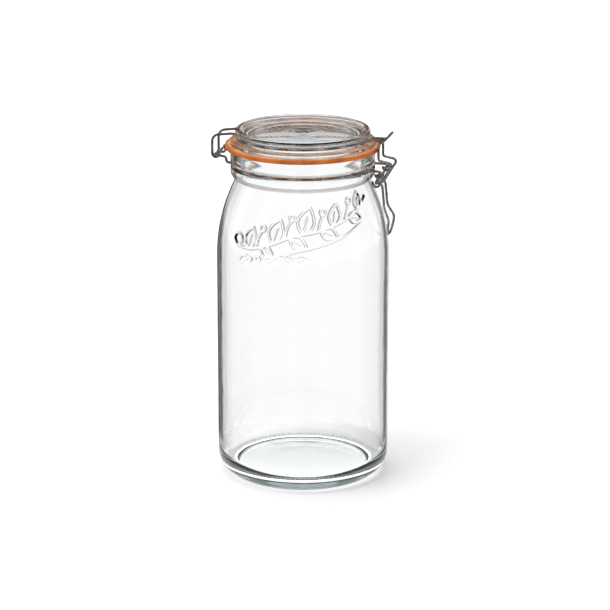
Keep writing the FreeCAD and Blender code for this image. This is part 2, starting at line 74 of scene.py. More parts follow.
class Tap:
    """A node's output, which Python's operators join to Math nodes."""

    def __init__(self, board: "Board", node: bpy.types.Node, output: int = 0) -> None:
        """Hold one output of a node.

        Args:
            board: The board that the node belongs to.
            node: The node.
            output: Index of the output.
        """
        self.board = board
        self.node = node
        self.socket = node.outputs[output]

    def out(self, index: int) -> "Tap":
        """Another output of the same node."""
        return Tap(self.board, self.node, index)

    def _join(self, operation: str, first: Any, second: Any) -> "Tap":
        """A Math node on two values."""
        return self.board.add("ShaderNodeMath", {"operation": operation}, {0: first, 1: second})

    def __add__(self, other: Any) -> "Tap":
        """Sum."""
        return self._join("ADD", self, other)

    def __radd__(self, other: Any) -> "Tap":
        """Sum with a number on the left."""
        return self._join("ADD", other, self)

    def __sub__(self, other: Any) -> "Tap":
        """Difference."""
        return self._join("SUBTRACT", self, other)

    def __rsub__(self, other: Any) -> "Tap":
        """Difference from a number."""
        return self._join("SUBTRACT", other, self)

    def __mul__(self, other: Any) -> "Tap":
        """Product."""
        return self._join("MULTIPLY", self, other)

    def __rmul__(self, other: Any) -> "Tap":
        """Product with a number on the left."""
        return self._join("MULTIPLY", other, self)

    def __truediv__(self, other: Any) -> "Tap":
        """Quotient."""
        return self._join("DIVIDE", self, other)

    def __rtruediv__(self, other: Any) -> "Tap":
        """Quotient of a number."""
        return self._join("DIVIDE", other, self)

    def __pow__(self, other: Any) -> "Tap":
        """Power."""
        return self._join("POWER", self, other)

    def sine(self) -> "Tap":
        """Sine."""
        return self._join("SINE", self, 0.0)

    def bent_to(self, angle: "Tap") -> "Tap":
        """Angle of the point whose Y is this and whose X is the other."""
        return self._join("ARCTAN2", self, angle)

    def wrapped(self, length: float) -> "Tap":
        """Remainder after whole lengths."""
        return self._join("MODULO", self, length)

    def step(self, low: float, high: float) -> "Tap":
        """Smooth step from 0 at low to 1 at high.

        Args:
            low: Value where the step starts.
            high: Value where the step ends.

        Returns:
            The stepped value.
        """
        settings = {"interpolation_type": "SMOOTHSTEP"}
        return self.board.add("ShaderNodeMapRange", settings, {0: self, 1: low, 2: high, 3: 0.0, 4: 1.0})

    def band(self, low: float, high: float, soft: float) -> "Tap":
        """1 between two values and 0 outside them.

        Args:
            low: Lower edge of the band.
            high: Upper edge of the band.
            soft: Width over which each edge fades.

        Returns:
            The band's mask.
        """
        return self.step(low, low + soft) * (1.0 - self.step(high - soft, high))


class Board:
    """A node tree, with one method that adds any node."""

    def __init__(self, tree: bpy.types.NodeTree) -> None:
        """Empty a tree to build on."""
        self.tree = tree
        self.tree.nodes.clear()

    def add(
        self,
        kind: str,
        settings: Mapping[str, Any] | None = None,
        values: Mapping[Any, Any] | None = None,
        output: int = 0,
    ) -> Tap:
        """Add a node.

        Args:
            kind: The node's type.
            settings: Its properties, and "stops" for a ramp.
            values: Its inputs by name or index, as numbers, tuples or taps.
            output: Which output the tap holds.

        Returns:
            A tap on the node's output.
        """
        node = self.tree.nodes.new(kind)
        for name, value in (settings or {}).items():
            if name == "stops":
                self._fill_ramp(node, value)
            else:
                setattr(node, name, value)
        for name, value in (values or {}).items():
            socket = node.inputs[name]
            if isinstance(value, Tap):
                self.tree.links.new(value.socket, socket)
            else:
                socket.default_value = value
        if not node.outputs:
            return self
        return Tap(self, node, output)

    @staticmethod
    def _fill_ramp(node: bpy.types.Node, stops: Sequence[tuple[float, tuple]]) -> None:
        """Set a ramp's stops.

        Args:
            node: The ramp.
            stops: Positions and colours, in order.
        """
        elements = node.color_ramp.elements
        while len(elements) > len(stops):
            elements.remove(elements[-1])
        while len(elements) < len(stops):
            elements.new(1.0)
        for element, (position, colour) in zip(elements, stops):
            element.position = position
            element.color = colour

    def mix(self, factor: Any, first: Any, second: Any, blend: str = "MIX") -> Tap:
        """Mix two colours.

        Args:
            factor: Share of the second colour.
            first: First colour or tap.
            second: Second colour or tap.
            blend: Blend type.

        Returns:
            The mixed colour.
        """
        settings = {"data_type": "RGBA", "blend_type": blend}
        return self.add("ShaderNodeMix", settings, {0: factor, 6: first, 7: second}, output=2)

    def place(self) -> Tap:
        """Object coordinates."""
        return self.add("ShaderNodeTexCoord", output=3)

    def split(self, vector: Tap) -> tuple[Tap, Tap, Tap]:
        """A vector's three parts."""
        parts = self.add("ShaderNodeSeparateXYZ", None, {0: vector})
        return parts, parts.out(1), parts.out(2)

    def noise(self, vector: Tap, scale: float, detail: float = 2.0, rough: float = 0.5) -> Tap:
        """A noise value.

        Args:
            vector: Coordinates.
            scale: Cells to the metre.
            detail: Octaves.
            rough: Strength of the finer octaves.

        Returns:
            The value, from 0 to 1.
        """
        values = {"Vector": vector, "Scale": scale, "Detail": detail, "Roughness": rough}
        return self.add("ShaderNodeTexNoise", None, values)

    def bump(self, height: Any, distance: float, strength: float = 1.0) -> Tap:
        """A bumped normal.

        Args:
            height: The height, in parts of the distance.
            distance: Height of 1, in metres.
            strength: Strength of the bump.

        Returns:
            The normal.
        """
        values = {"Strength": strength, "Distance": distance, "Height": height}
        return self.add("ShaderNodeBump", None, values)


@dataclass(frozen=True)
class Finish:
    """A named surface finish, made into a material once."""

    name: str

    def material(self) -> bpy.types.Material:
        """The finish's material, built the first time that it is asked for.

        Returns:
            The material.
        """
        made = bpy.data.materials.get(self.name)
        if made is None:
            made = bpy.data.materials.new(self.name)
            made.use_nodes = True
            self.paint(Board(made.node_tree))
        return made

    def paint(self, board: Board) -> None:
        """Build the nodes; each finish has its own."""
        raise NotImplementedError


@dataclass(frozen=True)
class GlassFinish(Finish):
    """Clear pressed or blown glass with a faint cool tint."""

    tint: tuple[float, float, float] = (0.60, 0.71, 0.75)
    density: float = 12.0
    ripple: float = 0.00006
    stipple_count: int = 0
    stipple_height: float = 0.0
    stipple_top: float = 0.0
    stipple_reach: tuple[float, float] = (0.050, 0.053)
    rings: float = 0.0
    rings_low: float = 0.0

    def paint(self, board: Board) -> None:
        """Glass that takes its colour from its depth.

        Args:
            board: The board to build on.
        """
        place = board.place()
        x, y, z = board.split(place)
        reach = (x * x + y * y) ** 0.5
        wave = board.noise(place, 70.0, 1.0)
        fine = board.noise(place, 420.0, 3.0)
        haze = board.noise(place, 26.0, 4.0, 0.6).step(0.45, 0.8)
        height = wave + fine * 0.06
        if self.stipple_count:
            around = (y.bent_to(x) * float(self.stipple_count)).sine().step(0.1, 0.9)
            foot = z.band(self.stipple_height, self.stipple_top, 0.0006) * reach.step(*self.stipple_reach)
            height = height + around * foot * 6.0
        if self.rings:
            ridges = (reach * (2.0 * math.pi / self.rings)).sine()
            height = height + ridges * z.step(self.rings_low, self.rings_low + 0.0005) * 0.3
        normal = board.bump(height, self.ripple)
        colour = board.mix(haze * 0.25, (1.0, 1.0, 1.0, 1.0), (0.965, 0.98, 0.98, 1.0))
        shader = board.add(
            "ShaderNodeBsdfPrincipled",
            None,
            {
                "Base Color": colour,
                "Roughness": haze * 0.02 + fine * 0.006,
                "IOR": 1.5,
                "Transmission Weight": 1.0,
                "Normal": normal,
            },
        )
        depth = board.add(
            "ShaderNodeVolumeAbsorption", None, {"Color": (*self.tint, 1.0), "Density": self.density}
        )
        board.add("ShaderNodeOutputMaterial", None, {"Surface": shader, "Volume": depth})


@dataclass(frozen=True)
class RubberFinish(Finish):
    """Natural orange rubber, moulded, with a slight bloom."""

    deep: tuple[float, float, float] = (0.40, 0.100, 0.014)
    bright: tuple[float, float, float] = (0.62, 0.185, 0.028)
    # Radii over which the painted glow of light on the rubber under the lid's flange fades out.
    painted_glow_edge: tuple[float, float] = (0.0588, 0.0600)

    def paint(self, board: Board) -> None:
        """Satin rubber with mottling, fine ridges, dust and a painted glow of light under the lid's flange.

        Args:
            board: The board to build on.
        """
        place = board.place()
        x, y, z = board.split(place)
        mottle = board.noise(place, 55.0, 5.0, 0.6)
        grain = board.noise(place, 1500.0, 3.0, 0.6)
        bloom = board.noise(place, 160.0, 4.0, 0.7).step(0.56, 0.82)
        colour = board.mix(mottle.step(0.3, 0.7), (*self.deep, 1.0), (*self.bright, 1.0))
        colour = board.mix(bloom * 0.22, colour, (0.80, 0.42, 0.18, 1.0))
        reach = (x * x + y * y) ** 0.5
        ridges = (reach * (2.0 * math.pi / 0.0011)).sine()
        height = ridges * 0.5 + grain * 0.5 + mottle
        # Painted light: the rubber under the lid's flange glows pale orange in mottled patches, standing in
        # for light that the glass lid would let through.
        painted_glow_mask = (1.0 - reach.step(*self.painted_glow_edge)) * mottle.step(0.1, 0.9)
        glow_with_painted_light = board.mix(painted_glow_mask, (0.0, 0.0, 0.0, 1.0), (1.0, 0.62, 0.36, 1.0))
        shader = board.add(
            "ShaderNodeBsdfPrincipled",
            None,
            {
                "Base Color": colour,
                "Roughness": 0.38 + grain * 0.12 + bloom * 0.2,
                "Subsurface Weight": 0.3,
                "Subsurface Radius": (0.004, 0.0015, 0.0006),
                "Subsurface Scale": 1.0,
                "Emission Color": glow_with_painted_light,
                "Emission Strength": 0.6,
                "Normal": board.bump(height, 0.00006),
            },
        )
        board.add("ShaderNodeOutputMaterial", None, {"Surface": shader})


@dataclass(frozen=True)
class WireFinish(Finish):
    """Drawn, plated steel wire with light wear."""

    pale: tuple[float, float, float] = (0.46, 0.45, 0.43)
    dull: tuple[float, float, float] = (0.12, 0.116, 0.108)

    def paint(self, board: Board) -> None:
        """Plated metal with dull patches, specks and fine scratches.

        Args:
            board: The board to build on.
        """
        place = board.place()
        patch = board.noise(place, 130.0, 4.0, 0.6).step(0.42, 0.66)
        speck = board.noise(place, 900.0, 2.0, 0.5).step(0.66, 0.74)
        grain = board.noise(place, 2600.0, 2.0, 0.5)
        colour = board.mix(patch * 0.7, (*self.pale, 1.0), (*self.dull, 1.0))
        colour = board.mix(speck * 0.6, colour, (0.13, 0.11, 0.09, 1.0))
        height = grain * 0.5 - speck + patch * 0.4
        shader = board.add(
            "ShaderNodeBsdfPrincipled",
            None,
            {
                "Base Color": colour,
                "Metallic": 1.0 - speck * 0.4,
                "Roughness": 0.16 + patch * 0.14 + grain * 0.08,
                "Normal": board.bump(height, 0.00003),
            },
        )
        board.add("ShaderNodeOutputMaterial", None, {"Surface": shader})


# ---------------------------------------------------------------- turned shapes


@dataclass(frozen=True)
class Sector:
    """Part of a full turn, with its own number of steps."""

    sweep: float
    steps: int


class Outline:
    """A half outline in the plane y = 0, drawn in millimetres and turned about Z."""

    def __init__(self, x: float, z: float) -> None:
        """Start the outline at a point.

        Args:
            x: Distance from the axis.
            z: Height.
        """
        self.mesh = bmesh.new()
        self.tip = self.mesh.verts.new((x * MM, 0.0, z * MM))

    def line(self, x: float, z: float, parts: int = 1) -> "Outline":
        """Go straight to a point.

        Args:
            x: Distance from the axis.
            z: Height.
            parts: Number of edges.

        Returns:
            The outline.
        """
        start = self.tip.co.copy()
        end = Vector((x * MM, 0.0, z * MM))
        for step in range(1, parts + 1):
            made = bmesh.ops.extrude_vert_indiv(self.mesh, verts=[self.tip])
            self.tip = made["verts"][0]
            self.tip.co = start.lerp(end, step / parts)
        return self

    def arc(self, x: float, z: float, radius: float, side: int, parts: int) -> "Outline":
        """Go to a point along an arc.

        Args:
            x: Distance of the end from the axis.
            z: Height of the end.
            radius: Radius of the arc.
            side: 1 if its centre lies left of the way, -1 if right.
            parts: Number of edges.

        Returns:
            The outline.
        """
        start = self.tip.co.copy()
        end = Vector((x * MM, 0.0, z * MM))
        chord = end - start
        half = chord.length / 2.0
        left = Vector((-chord.z, 0.0, chord.x)).normalized()
        rise = math.sqrt(max((radius * MM) ** 2 - half * half, 0.0))
        centre = (start + end) / 2.0 + left * (rise * side)
        angle = 2.0 * math.asin(min(half / (radius * MM), 1.0))
        made = bmesh.ops.spin(
            self.mesh,
            geom=[self.tip],
            cent=centre,
            axis=(0.0, -float(side), 0.0),
            angle=angle,
            steps=parts,
        )
        self.tip = next(g for g in made["geom_last"] if isinstance(g, bmesh.types.BMVert))
        self.tip.co = end
        return self

    def turned(self, start: float, sectors: Sequence[Sector]) -> bmesh.types.BMesh:
        """Turn the outline about Z, one sector after another.

        Args:
            start: Angle where the first sector starts, in radians.
            sectors: The sectors, which make a full turn together.

        Returns:
            The closed shape, with its normals outwards.
        """
        mesh = self.mesh
        bmesh.ops.rotate(
            mesh, verts=mesh.verts[:], cent=(0, 0, 0), matrix=Matrix.Rotation(start, 3, "Z")
        )
        geom: list = mesh.verts[:] + mesh.edges[:]
        for sector in sectors:
            made = bmesh.ops.spin(
                mesh,
                geom=geom,
                cent=(0, 0, 0),
                axis=(0, 0, 1),
                angle=sector.sweep,
                steps=sector.steps,
                use_merge=len(sectors) == 1,
            )
            geom = made["geom_last"]
        bmesh.ops.remove_doubles(mesh, verts=mesh.verts[:], dist=1e-6)
        bmesh.ops.recalc_face_normals(mesh, faces=mesh.faces[:])
        return mesh


def finished_piece(
    mesh: bmesh.types.BMesh, name: str, body: Body, node: str, finish: Finish
) -> bpy.types.Object:
    """Make an object of a mesh, dress it and let it stand for a CAD node.

    Args:
        mesh: The shape, in its place.
        name: Name of the object.
        body: Body that it rides on.
        node: CAD node that it stands for.
        finish: Its finish.

    Returns:
        The object.
    """
    data = bpy.data.meshes.new(name)
    mesh.to_mesh(data)
    mesh.free()
    data.shade_smooth()
    piece = bpy.data.objects.new(name, data)
    bpy.context.scene.collection.objects.link(piece)
    data.materials.append(finish.material())
    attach(piece, body.value)
    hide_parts(node)
    LOG.info("%s: %d faces", name, len(data.polygons))
    return piece


# ---------------------------------------------------------------- raised decoration


@dataclass
class Relief:
    """Raised strokes on glass, in millimetres across and up."""

    strokes: list[np.ndarray] = field(default_factory=list)
    widths: list[float] = field(default_factory=list)

    def curve(self, points: Sequence[tuple[float, float]], width: float = 1.5) -> None:
        """Add a smooth stroke through points.

        Args:
            points: The points.
            width: Half the stroke's width.
        """
        knots = np.array([points[0], *points, points[-1]], float)
        share = np.linspace(0.0, 1.0, 9)[:, None]
        parts = []
        for a, b, c, d in zip(knots, knots[1:], knots[2:], knots[3:]):
            cubic = (d - a + 3.0 * (b - c)) * share**3
            square = (2.0 * a - 5.0 * b + 4.0 * c - d) * share**2
            parts.append((cubic + square + (c - a) * share + 2.0 * b) / 2.0)
        self.strokes.append(np.vstack(parts))
        self.widths.append(width)

    def leaf(self, root: tuple[float, float], length: float, degrees: float, plump: float = 0.3) -> None:
        """Add a leaf's outline and its midrib.

        Args:
            root: Where the leaf starts.
            length: Its length.
            degrees: Its direction.
            plump: Half its width, as a share of its length.
        """
        angle = math.radians(degrees)
        ahead = np.array([math.cos(angle), math.sin(angle)])
        aside = np.array([-ahead[1], ahead[0]])
        base = np.array(root)
        for way in (1.0, -1.0):
            shares = ((0.0, 0.0), (0.18, 0.7), (0.45, 1.0), (0.75, 0.62), (1.0, 0.0))
            edge = [base + ahead * length * a + aside * (way * plump * length * b) for a, b in shares]
            self.curve([tuple(p) for p in edge], 1.4)
        self.curve([tuple(base), tuple(base + ahead * length * 0.66)], 0.9)

    def berry(self, centre: tuple[float, float], radius: float) -> None:
        """Add a ring.

        Args:
            centre: Its middle.
            radius: Its radius.
        """
        turn = [math.radians(a) for a in range(0, 361, 45)]
        ring = [(centre[0] + radius * math.cos(a), centre[1] + radius * math.sin(a)) for a in turn]
        self.curve(ring, 1.2)

    def heights(self, points: np.ndarray) -> np.ndarray:
        """Height of the relief at points, from 0 to 1.

        Args:
            points: Points across and up, one to a row.

        Returns:
            The heights.
        """
        best = np.zeros(len(points))
        for stroke, width in zip(self.strokes, self.widths):
            for start, end in zip(stroke, stroke[1:]):
                way = end - start
                reach = max(float(way @ way), 1e-9)
                near = np.all(np.abs(points - (start + end) / 2.0) < width + 4.0 + reach**0.5, axis=1)
                if not near.any():
                    continue
                offset = points[near] - start
                along = np.clip(offset @ way / reach, 0.0, 1.0)[:, None]
                gap = np.linalg.norm(offset - along * way, axis=1) / width
                rise = np.clip(1.0 - gap * gap, 0.0, 1.0) ** 1.5
                best[near] = np.maximum(best[near], rise)
        return best


# ---------------------------------------------------------------- the jar


@dataclass
class JarGlass:
    """The glass jar, with its raised sprig. Sizes in millimetres."""

    foot_radius: float = 58.5
    foot_inner: float = 54.0
    push_up: float = 3.0
    heel: float = 17.0
    shoulder: float = 179.0
    shoulder_arc: float = 135.0
    wall: float = 3.5
    neck_radius: float = 53.0
    finish_radius: float = 57.2
    mouth_radius: float = 49.5
    floor: float = 8.0
    inset: float = 0.38
    sprig_low: float = 166.0
    sprig_high: float = 240.0
    sprig_lift: float = 7.0
    sprig_half_angle: float = 58.0
    relief: float = 1.70
    unevenness: float = 0.09
    outer_unevenness: float = 0.10
    floor_unevenness: float = 0.30
    wall_low: float = 12.0
    wall_high: float = 243.0
    inner_low: float = 14.0
    inner_high: float = 236.0
    fade_length: float = 14.0
    floor_edge: float = 55.0
    clearance: float = 0.06
    finish: GlassFinish = GlassFinish(
        "jar_glass_clear", stipple_count=96, stipple_height=0.0008, stipple_top=0.0036
    )

    def body_radius(self) -> float:
        """Outside of the straight wall."""
        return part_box("jar_glass")[1].x / MM

    def rim(self) -> float:
        """Top of the glass."""
        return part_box("jar_glass")[1].z / MM

    def outside(self, z: np.ndarray) -> np.ndarray:
        """Outside radius of the wall and shoulder at heights.

        Args:
            z: The heights.

        Returns:
            The radii.
        """
        above = np.clip(z - self.shoulder, 0.0, self.shoulder_arc)
        return self.body_radius() - self.shoulder_arc + np.sqrt(self.shoulder_arc**2 - above**2)

    def height_on_shoulder(self, radius: float, arc: float) -> float:
        """Height where an arc of the shoulder reaches a radius.

        Args:
            radius: The radius.
            arc: Radius of the arc's profile.

        Returns:
            The height.
        """
        centre = self.body_radius() - self.shoulder_arc
        return self.shoulder + math.sqrt(arc**2 - (radius - centre) ** 2)

    def sprig(self) -> Relief:
        """The raised sprig of leaves and berries, with a small row of leaves below."""
        art = Relief()
        stem = [(-58, 192), (-44, 191), (-26, 196), (-8, 203), (12, 207), (32, 213), (50, 222), (58, 229)]
        art.curve(stem, 1.6)
        art.curve([(-58, 192), (-61, 197), (-57, 201), (-52, 198), (-54, 193)], 1.4)
        art.leaf((-46, 191.5), 17.0, 72.0)
        art.leaf((-34, 194), 13.0, -38.0)
        art.leaf((-24, 197), 20.0, 70.0)
        art.leaf((-10, 202), 15.0, -30.0)
        art.leaf((0, 205), 21.0, 75.0)
        art.leaf((14, 207.5), 15.0, -22.0)
        art.leaf((24, 210.5), 16.0, 82.0)
        art.leaf((38, 216), 13.0, -14.0)
        art.leaf((47, 220.5), 12.0, 92.0)
        for stem, spot in (
            (((-38, 193), (-36, 200), (-33, 205)), (-32.0, 208.0)),
            (((-14, 201), (-12, 209), (-9, 214)), (-8.0, 217.0)),
            (((12, 207), (13, 213), (15, 218)), (15.5, 221.0)),
            (((34, 214), (36, 220), (37, 224)), (38.0, 227.0)),
        ):
            art.curve(stem, 1.1)
            art.berry(spot, 2.3)
        art.curve([(-20, 188), (-4, 192), (14, 196), (34, 202), (50, 210)], 1.2)
        art.leaf((-56, 179), 14.0, 18.0)
        art.berry((-37, 184), 2.1)
        art.leaf((-32, 182), 14.0, 14.0)
        art.berry((-12, 187), 2.1)
        art.leaf((-7, 184), 13.0, 12.0)
        return art

    def outline(self) -> Outline:
        """The jar's outline, finer in the zone of the sprig."""
        body = self.body_radius()
        wall = body - self.inset
        rim = self.rim()
        arc_in = self.shoulder_arc - self.wall
        arc_out = self.shoulder_arc - self.inset
        neck_z = self.height_on_shoulder(self.neck_radius, arc_out)
        low = self.sprig_low
        high = self.sprig_high
        high_x = body - self.shoulder_arc + math.sqrt(arc_out**2 - (high - self.shoulder) ** 2)
        line = Outline(0.0, self.push_up)
        line.line(6.0, self.push_up, 5)
        line.arc(self.foot_inner, 0.6, 481.0, -1, 10)
        line.arc(self.foot_inner + 1.2, 0.0, 1.4, 1, 3)
        line.line(self.foot_radius - 1.0, 0.0, 2)
        line.arc(self.foot_radius + 0.5, 0.55, 1.8, 1, 3)
        line.arc(wall, self.heel + 1.5, 18.6, 1, 12)
        line.line(wall, low, 22)
        line.line(wall, self.shoulder, 20)
        line.arc(high_x, high, arc_out, 1, 92)
        line.arc(self.neck_radius, neck_z, arc_out, 1, 4)
        line.arc(self.finish_radius, rim - 17.2, 6.75, 1, 10)
        line.line(self.finish_radius, rim - 14.7, 2)
        line.line(self.finish_radius - 1.1, rim - 14.7, 2)
        line.arc(self.finish_radius - 1.1, rim - 11.3, 1.72, -1, 8)
        line.line(self.finish_radius, rim - 11.3, 2)
        line.line(self.finish_radius, rim - 2.0, 4)
        line.arc(self.finish_radius - 2.0, rim, 2.0, 1, 6)
        line.line(self.mouth_radius + 2.0, rim, 2)
        line.arc(self.mouth_radius, rim - 2.0, 2.0, 1, 6)
        inner_z = self.height_on_shoulder(self.mouth_radius, arc_in)
        line.line(self.mouth_radius, inner_z, 6)
        line.arc(body - self.wall, self.shoulder, arc_in, -1, 24)
        line.line(body - self.wall, self.floor + 12.0, 22)
        line.arc(body - self.wall - 12.0, self.floor, 12.0, -1, 8)
        line.arc(6.0, self.floor + 1.5, 754.0, 1, 10)
        line.line(0.0, self.floor + 1.5, 5)
        return line

    def build(self) -> bpy.types.Object:
        """Build, shape and dress the jar.

        Returns:
            The jar's object.
        """
        half = math.radians(self.sprig_half_angle)
        middle = CAMERA_AZIMUTH - math.pi / 2.0
        sectors = [Sector(2.0 * half, 200), Sector(2.0 * (math.pi - half), 84)]
        mesh = self.outline().turned(middle - half, sectors)
        self.shape(mesh, middle)
        return finished_piece(mesh, "jar_body", Body.JAR, "jar_glass", self.finish)

    def shape(self, mesh: bmesh.types.BMesh, middle: float) -> None:
        """Raise the sprig and give the walls the unevenness of blown glass.

        Args:
            mesh: The turned jar.
            middle: Angle of the sprig's middle.
        """
        mesh.verts.ensure_lookup_table()
        co = np.array([v.co for v in mesh.verts]) / MM
        reach = np.hypot(co[:, 0], co[:, 1])
        turn = np.arctan2(co[:, 1], co[:, 0]) - middle
        turn = (turn + math.pi) % (2.0 * math.pi) - math.pi
        outer = self.outside(co[:, 2])
        height = co[:, 2]
        on_wall = (reach > outer - self.wall / 2.0) & (height > self.wall_low) & (height < self.wall_high)
        flat = np.column_stack((turn * outer, co[:, 2] - self.sprig_lift))
        raised = np.zeros(len(co))
        zone = on_wall & (np.abs(turn) < math.radians(self.sprig_half_angle - 1.0))
        zone &= (co[:, 2] > self.sprig_low) & (co[:, 2] < self.sprig_high)
        raised[zone] = self.sprig().heights(flat[zone]) * self.relief
        limit = self.body_radius() - self.clearance
        inside = (reach < outer - self.wall * 0.7) & (height > self.inner_low) & (height < self.inner_high)
        for index, vert in enumerate(mesh.verts):
            move = 0.0
            if on_wall[index]:
                spot = Vector((turn[index] * 1.4, co[index, 2] * 0.02, 3.0))
                move = raised[index] - self.outer_unevenness * (1.0 + noise.noise(spot))
                move = min(move, limit - reach[index])
            elif inside[index]:
                spot = Vector((turn[index] * 1.9, co[index, 2] * 0.022, 11.0))
                below = (co[index, 2] - self.inner_low) / self.fade_length
                fade = min(1.0, below, (self.inner_high - co[index, 2]) / self.fade_length)
                move = self.unevenness * fade * noise.noise(spot)
            elif self.floor - 0.5 < co[index, 2] < self.floor + 4.0 and reach[index] < self.floor_edge:
                fade = min(1.0, (self.floor_edge - reach[index]) / 12.0)
                vert.co.z += self.floor_unevenness * fade * noise.noise(vert.co * 38.0) * MM
            if move:
                scale = 1.0 + move / reach[index]
                vert.co.x *= scale
                vert.co.y *= scale


@dataclass
class RubberSeal:
    """The rubber ring between jar and lid. Sizes in millimetres."""

    inner: float = 50.3
    edge: float = 0.8
    bite: float = 0.04
    finish: RubberFinish = RubberFinish("seal_orange")

    def build(self) -> bpy.types.Object:
        """Build and dress the ring.

        Returns:
            The ring's object.
        """
        low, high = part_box("rubber_seal")
        outer = high.x / MM
        bottom = low.z / MM - self.bite
        top = high.z / MM + self.bite + 0.1
        line = Outline(self.inner + self.edge, bottom)
        line.line(outer - self.edge, bottom, 8)
        line.arc(outer, bottom + self.edge, self.edge, 1, 4)
        line.line(outer, top - self.edge, 3)
        line.arc(outer - self.edge, top, self.edge, 1, 4)
        line.line(self.inner + self.edge, top, 8)
        line.arc(self.inner, top - self.edge, self.edge, 1, 4)
        line.line(self.inner, bottom + self.edge, 3)
        line.arc(self.inner + self.edge, bottom, self.edge, 1, 4)
        mesh = line.turned(0.0, [Sector(2.0 * math.pi, 192)])
        self.wobble(mesh, outer)
        return finished_piece(mesh, "seal_ring", Body.JAR, "rubber_seal", self.finish)

    def wobble(self, mesh: bmesh.types.BMesh, outer: float) -> None:
        """Pull the outer edge in unevenly, as soft rubber lies.

        Args:
            mesh: The ring.
            outer: Its outer radius.
        """
        for vert in mesh.verts:
            reach = vert.co.xy.length / MM
            share = max(0.0, (reach - 57.0) / (outer - 57.0))
            angle = math.atan2(vert.co.y, vert.co.x)
            pull = 0.22 * share * (1.0 + math.sin(3.0 * angle + 0.7) * math.cos(2.0 * angle))
            scale = 1.0 - pull / reach
            vert.co.x *= scale
            vert.co.y *= scale


@dataclass
class LidGlass:
    """The pressed glass lid, hollow below and dished on top. Sizes in millimetres."""

    flange_edge: float = 3.3
    plug: float = 47.8
    collar: float = 51.9
    top_radius: float = 53.3
    groove_rise: float = 6.1
    plug_depth: float = 5.5
    hollow: float = 9.0
    finish: GlassFinish = GlassFinish(
        "lid_glass_clear", density=7.0, ripple=0.00003, rings=0.0034, rings_low=0.270
    )

    def outline(self) -> Outline:
        """The lid's outline."""
        low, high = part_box("lid_glass")
        end = low.z / MM
        top = high.z / MM
        flange = high.x / MM
        face = end + self.plug_depth
        groove = face + self.groove_rise
        ceiling = end + self.hollow
        line = Outline(0.0, ceiling + 0.8)
        line.line(6.0, ceiling + 0.8)
        line.arc(39.0, ceiling + 0.2, 744.0, -1, 12)
        line.arc(40.9, ceiling - 1.6, 2.2, -1, 5)
        line.line(42.5, end + 1.3, 5)
        line.arc(43.8, end, 1.3, 1, 5)
        line.line(45.2, end, 2)
        line.arc(46.5, end + 1.3, 1.3, 1, 5)
        line.line(self.plug, face, 3)
        line.line(flange - 0.95, face, 5)
        line.arc(flange, face + 0.95, 0.95, 1, 5)
        line.line(flange, face + self.flange_edge - 0.95, 2)
        line.arc(flange - 0.95, face + self.flange_edge, 0.95, 1, 5)
        line.line(self.collar + 0.9, groove - 2.1, 4)
        line.arc(self.collar, groove - 1.7, 0.8, -1, 3)
        line.line(self.collar - 0.4, groove - 1.7)
        line.arc(self.collar - 0.4, groove + 1.7, 1.72, -1, 8)
        line.line(self.collar, groove + 1.7)
        line.line(self.top_radius - 0.2, groove + 2.9, 2)
        line.arc(self.top_radius, groove + 3.4, 0.6, 1, 3)
        line.line(self.top_radius, top - 2.0, 2)
        line.arc(self.top_radius - 2.0, top, 2.0, 1, 7)
        line.line(49.6, top, 3)
        line.arc(48.6, top - 0.5, 1.4, 1, 3)
        line.line(47.3, top - 1.8, 2)
        line.arc(46.2, top - 2.33, 1.8, -1, 4)
        line.arc(12.0, top - 2.9, 1000.0, -1, 24)
        line.line(0.0, top - 3.1, 22)
        return line

    def badge(self) -> Relief:
        """A small plain motif for the middle of the lid."""
        art = Relief()
        art.curve([(-11, -1.2), (-4, -0.3), (3, 0.3), (11, 1.4)], 0.8)
        for root, length, degrees in (
            ((-7, -0.8), 5.5, 48.0),
            ((-1, 0), 5.5, 46.0),
            ((5, 0.5), 4.5, 44.0),
            ((-5, -0.6), 5.0, -40.0),
            ((1, 0.1), 5.0, -38.0),
        ):
            art.leaf(root, length, degrees, 0.26)
        art.widths = [0.62] * len(art.widths)
        return art

    def build(self) -> bpy.types.Object:
        """Build and dress the lid.

        Returns:
            The lid's object.
        """
        mesh = self.outline().turned(0.0, [Sector(2.0 * math.pi, 216)])
        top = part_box("lid_glass")[1].z / MM
        mesh.verts.ensure_lookup_table()
        co = np.array([v.co for v in mesh.verts]) / MM
        turn = -CAMERA_AZIMUTH
        across = co[:, 0] * math.cos(turn) - co[:, 1] * math.sin(turn)
        up = co[:, 0] * math.sin(turn) + co[:, 1] * math.cos(turn)
        on_top = (co[:, 2] > top - 3.6) & (np.hypot(across, up) < 16.0)
        rise = np.zeros(len(co))
        rise[on_top] = self.badge().heights(np.column_stack((across, up))[on_top]) * 0.22
        for index, vert in enumerate(mesh.verts):
            vert.co.z += rise[index] * MM
        return finished_piece(mesh, "lid_disc", Body.LID, "lid_glass", self.finish)


@dataclass
class Wirework:
    """The hinge, clamp and lever wires, which keep their own shapes."""

    nodes: tuple[str, ...] = ("neck_wire", "lid_wire", "lever", "link")
    finish: WireFinish = WireFinish("wire_plated")

    def dress(self) -> None:
        """Give each wire its finish."""
        for name in self.nodes:
            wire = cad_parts[name]
            wire.data.materials.clear()
            wire.data.materials.append(self.finish.material())
            LOG.info("%s: dressed", name)


# ---------------------------------------------------------------- studio


